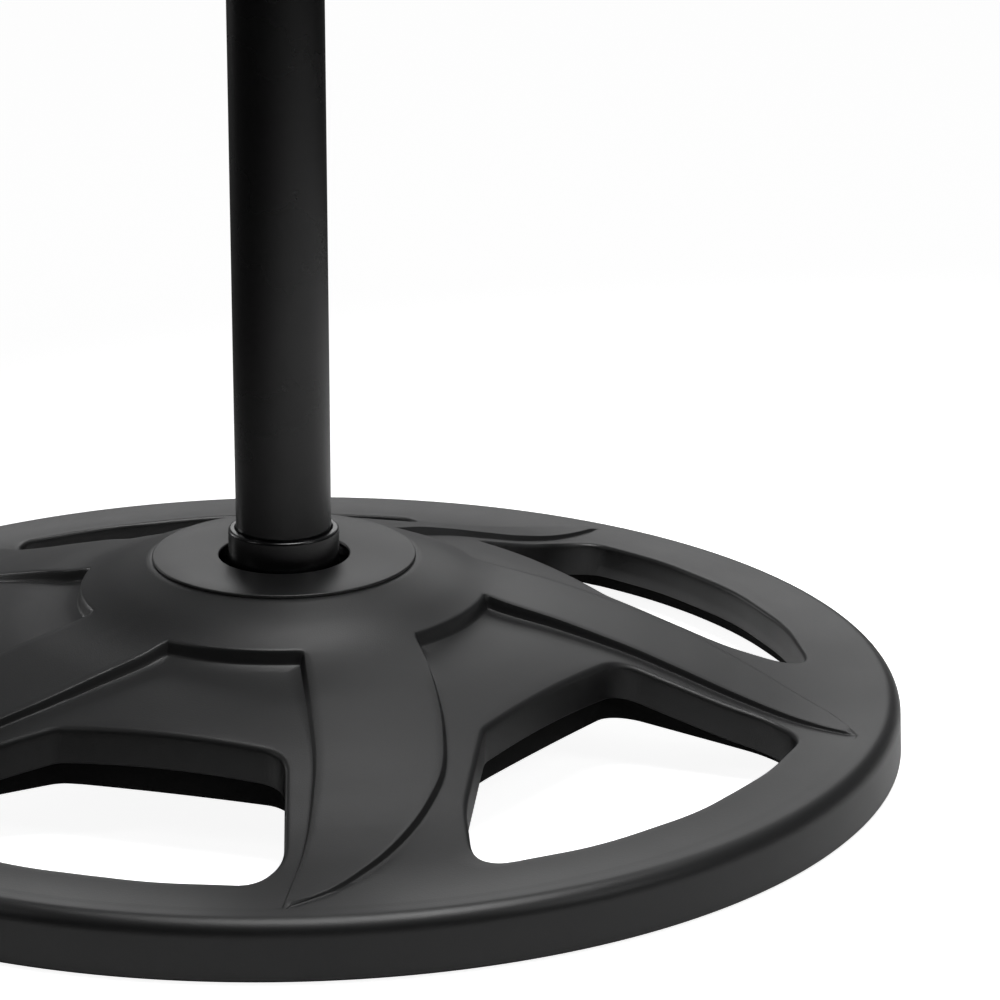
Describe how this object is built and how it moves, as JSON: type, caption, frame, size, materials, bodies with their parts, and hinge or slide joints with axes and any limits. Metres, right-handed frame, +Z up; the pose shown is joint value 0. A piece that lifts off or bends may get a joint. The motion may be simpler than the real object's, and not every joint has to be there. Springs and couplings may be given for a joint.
{
  "type": "reflex speed bag stand",
  "caption": "Free-standing reflex speed bag stand: weighted round swirl base with hand windows, telescoping pole with clamp, coil spring and striking ball.",
  "frame": {"origin": "on the floor, under the axis of the pole, at the middle of the base", "axes": "+Z up along the pole; the clamp knob points to +X"},
  "size_m": [0.58, 0.58, 1.588],
  "materials": {
    "moulded_plastic": "fine satin moulded",
    "dark_plastic": "plain moulded",
    "painted_steel": "satin black powder coat",
    "black_rubber": "moulded",
    "cast_iron": "rough cast",
    "brass": "turned",
    "ball_leather": "grained, stitched panels",
    "bladder_rubber": "smooth",
    "zinc_steel": "zinc plated"
  },
  "bodies": {
    "knob": {"lock_knob": "moulded_plastic", "knob_screw": "zinc_steel"},
    "mast": {"upper_pole": "painted_steel", "slide_plug": "dark_plastic", "lower_spring_seat": "painted_steel", "seat_pin": "zinc_steel"},
    "spring_body": {"spring": "painted_steel"},
    "ball_head": {"upper_spring_seat": "painted_steel", "ball_stud": "zinc_steel", "stud_nut": "zinc_steel", "ball_plate": "black_rubber", "inner_disc": "zinc_steel", "inner_nut": "zinc_steel", "ball_cover": "ball_leather", "ball_bladder": "bladder_rubber", "ball_valve": "black_rubber"},
    "base": {"base_shell": "moulded_plastic", "base_tray": "dark_plastic", "hub_ballast": "cast_iron", "rim_ballast": "cast_iron", "rubber_foot_1": "black_rubber", "rubber_foot_2": "black_rubber", "rubber_foot_3": "black_rubber", "rubber_foot_4": "black_rubber", "rubber_foot_5": "black_rubber", "tray_screw_1": "zinc_steel", "tray_screw_2": "zinc_steel", "tray_screw_3": "zinc_steel", "tray_screw_4": "zinc_steel", "tray_screw_5": "zinc_steel", "pole_socket": "painted_steel", "hub_plate": "zinc_steel", "hub_cap": "moulded_plastic", "flange_bolt_1": "zinc_steel", "flange_bolt_2": "zinc_steel", "flange_bolt_3": "zinc_steel", "flange_bolt_4": "zinc_steel", "flange_nut_1": "zinc_steel", "flange_nut_2": "zinc_steel", "flange_nut_3": "zinc_steel", "flange_nut_4": "zinc_steel", "lower_pole": "painted_steel", "pole_foot_plug": "zinc_steel", "anchor_washer": "zinc_steel", "anchor_bolt": "zinc_steel", "guide_bush": "dark_plastic", "clamp_collar": "moulded_plastic", "clamp_insert": "brass"}
  },
  "joints": [
    {"name": "height_slide", "type": "slide", "parent": "base", "child": "mast", "axis": [0, 0, 1], "range_m": [-0.15, 0.2]},
    {"name": "clamp_knob_turn", "type": "hinge", "parent": "base", "child": "knob", "pos_m": [0.02, 0, 0.8743], "axis": [1, 0, 0], "range_deg": [0, 180]},
    {"name": "spring_sway_fore_aft", "type": "hinge", "parent": "mast", "child": "spring_body", "pos_m": [0, 0, 1.2876], "axis": [1, 0, 0], "range_deg": [-35, 35], "stiffness_Nm_per_rad": 30, "deforming": ["spring"]},
    {"name": "spring_sway_sideways", "type": "hinge", "parent": "spring_body", "child": "ball_head", "pos_m": [0, 0, 1.2876], "axis": [0, 1, 0], "range_deg": [-35, 35], "stiffness_Nm_per_rad": 30, "deforming": ["spring"]}
  ]
}
